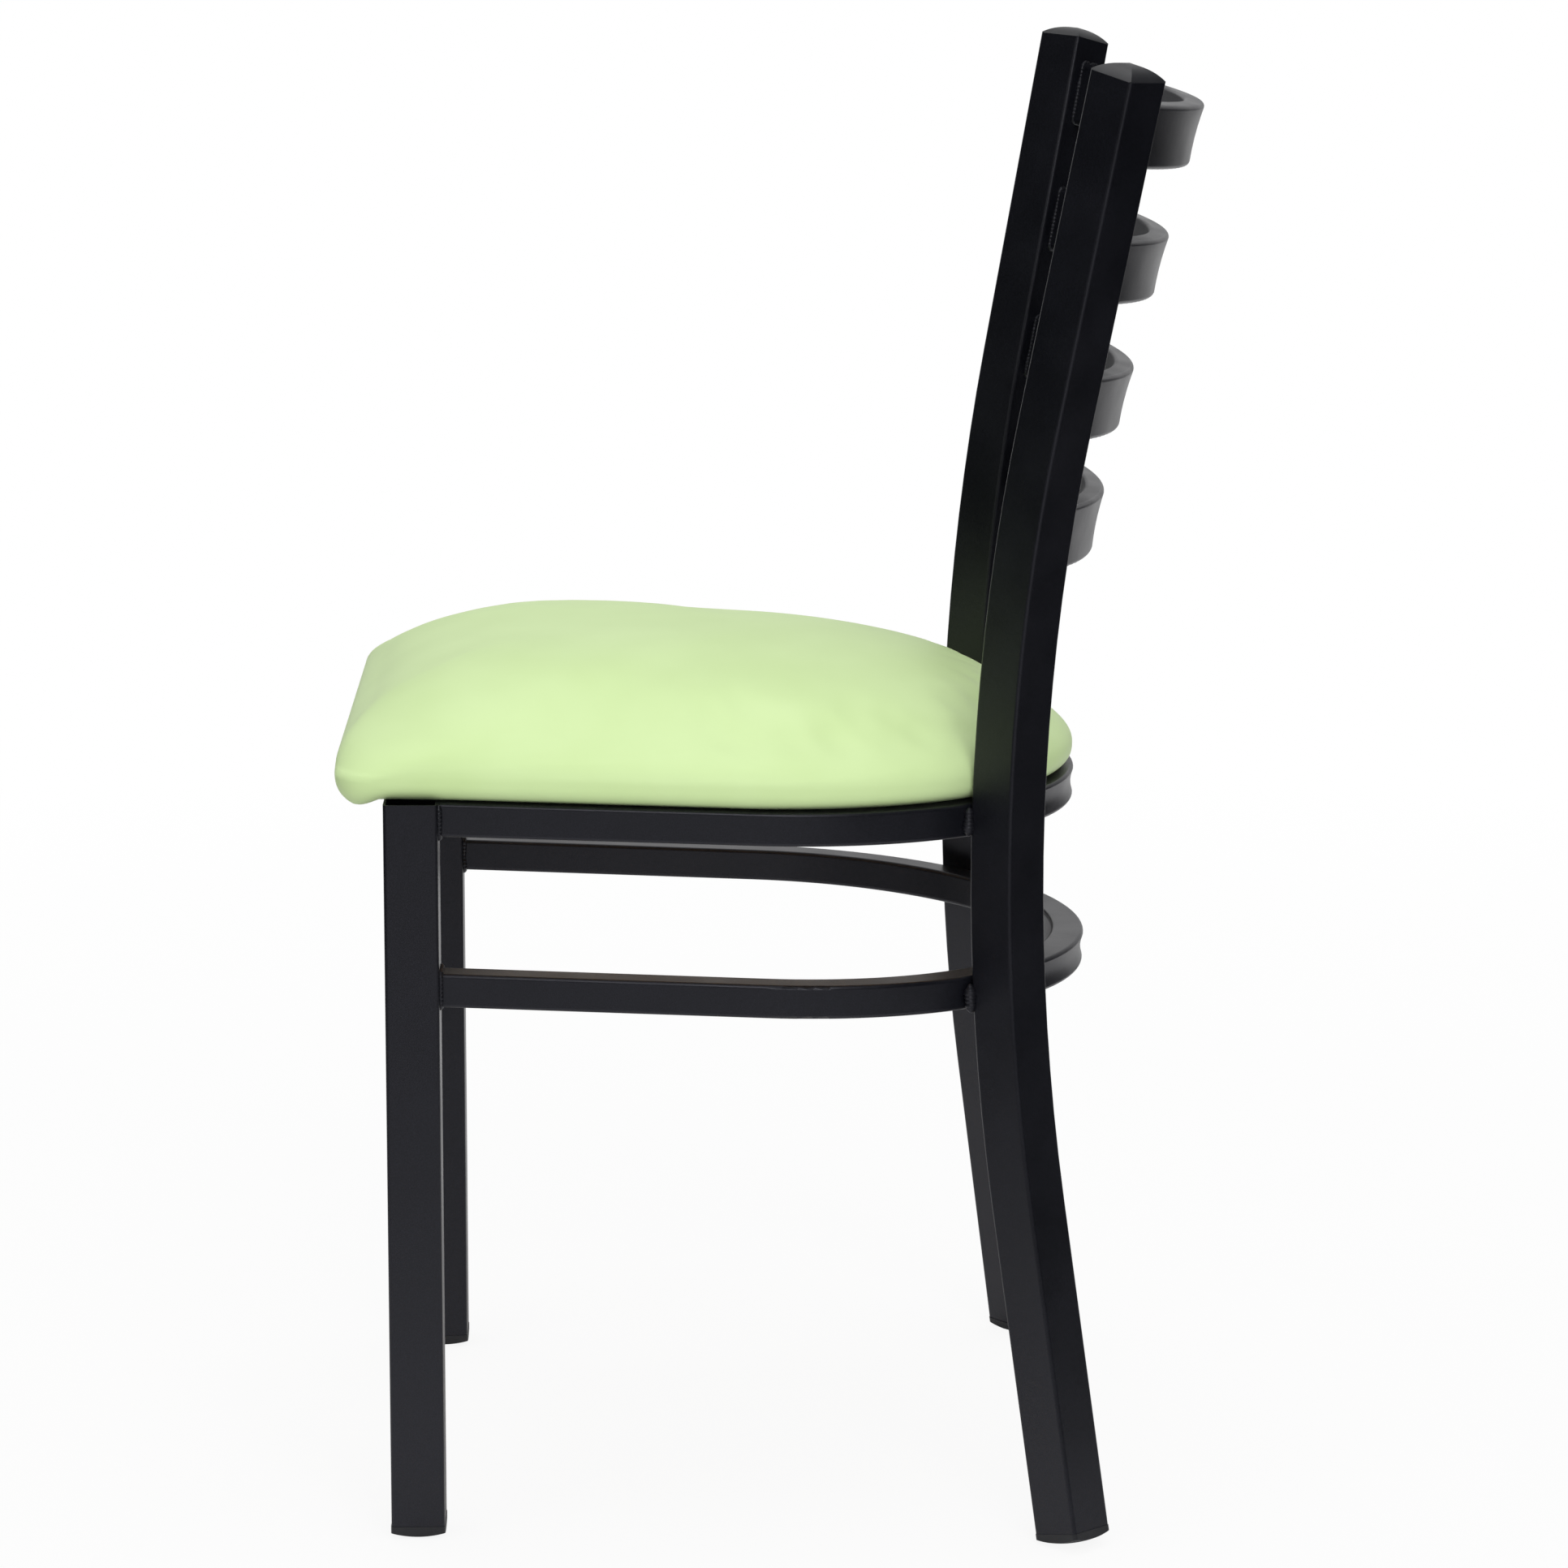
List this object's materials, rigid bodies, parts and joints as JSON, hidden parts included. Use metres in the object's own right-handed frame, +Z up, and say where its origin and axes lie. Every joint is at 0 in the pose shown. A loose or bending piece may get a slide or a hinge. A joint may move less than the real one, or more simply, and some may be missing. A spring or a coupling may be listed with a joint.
{
  "type": "ladderback dining chair",
  "caption": "Ladderback dining chair with a welded square-tube steel frame, bowed back slats and a crowned vinyl seat with a round back.",
  "frame": {"origin": "on the floor, under the middle of the chair's outline", "axes": "+Z up, -Y towards the front of the chair, +X towards the sitter's left"},
  "size_m": [0.4832, 0.5176, 0.8725],
  "materials": {
    "powder_coat": "satin black powder coat with a fine grain",
    "vinyl": "pale green upholstery vinyl with a soft sheen",
    "foam": "cream polyurethane foam",
    "plywood": "raw plywood",
    "black_plastic": "moulded black plastic",
    "zinc_steel": "zinc plated steel"
  },
  "bodies": {
    "root": {"back_post_left": "powder_coat", "back_post_right": "powder_coat", "post_cap_left": "black_plastic", "post_cap_right": "black_plastic", "rear_glide_left": "black_plastic", "rear_glide_right": "black_plastic", "front_leg_left": "powder_coat", "front_leg_right": "powder_coat", "front_glide_left": "black_plastic", "front_glide_right": "black_plastic", "seat_hoop": "powder_coat", "stretcher_hoop": "powder_coat", "front_rail": "powder_coat", "back_slat_1": "powder_coat", "back_slat_2": "powder_coat", "back_slat_3": "powder_coat", "back_slat_4": "powder_coat", "seat_cover": "vinyl", "seat_foam": "foam", "seat_board": "plywood", "seat_tab_front_left": "powder_coat", "seat_tab_front_right": "powder_coat", "seat_tab_rear_left": "powder_coat", "seat_tab_rear_right": "powder_coat", "seat_washers": "zinc_steel", "seat_screws": "zinc_steel", "tee_nuts": "zinc_steel"}
  },
  "joints": []
}
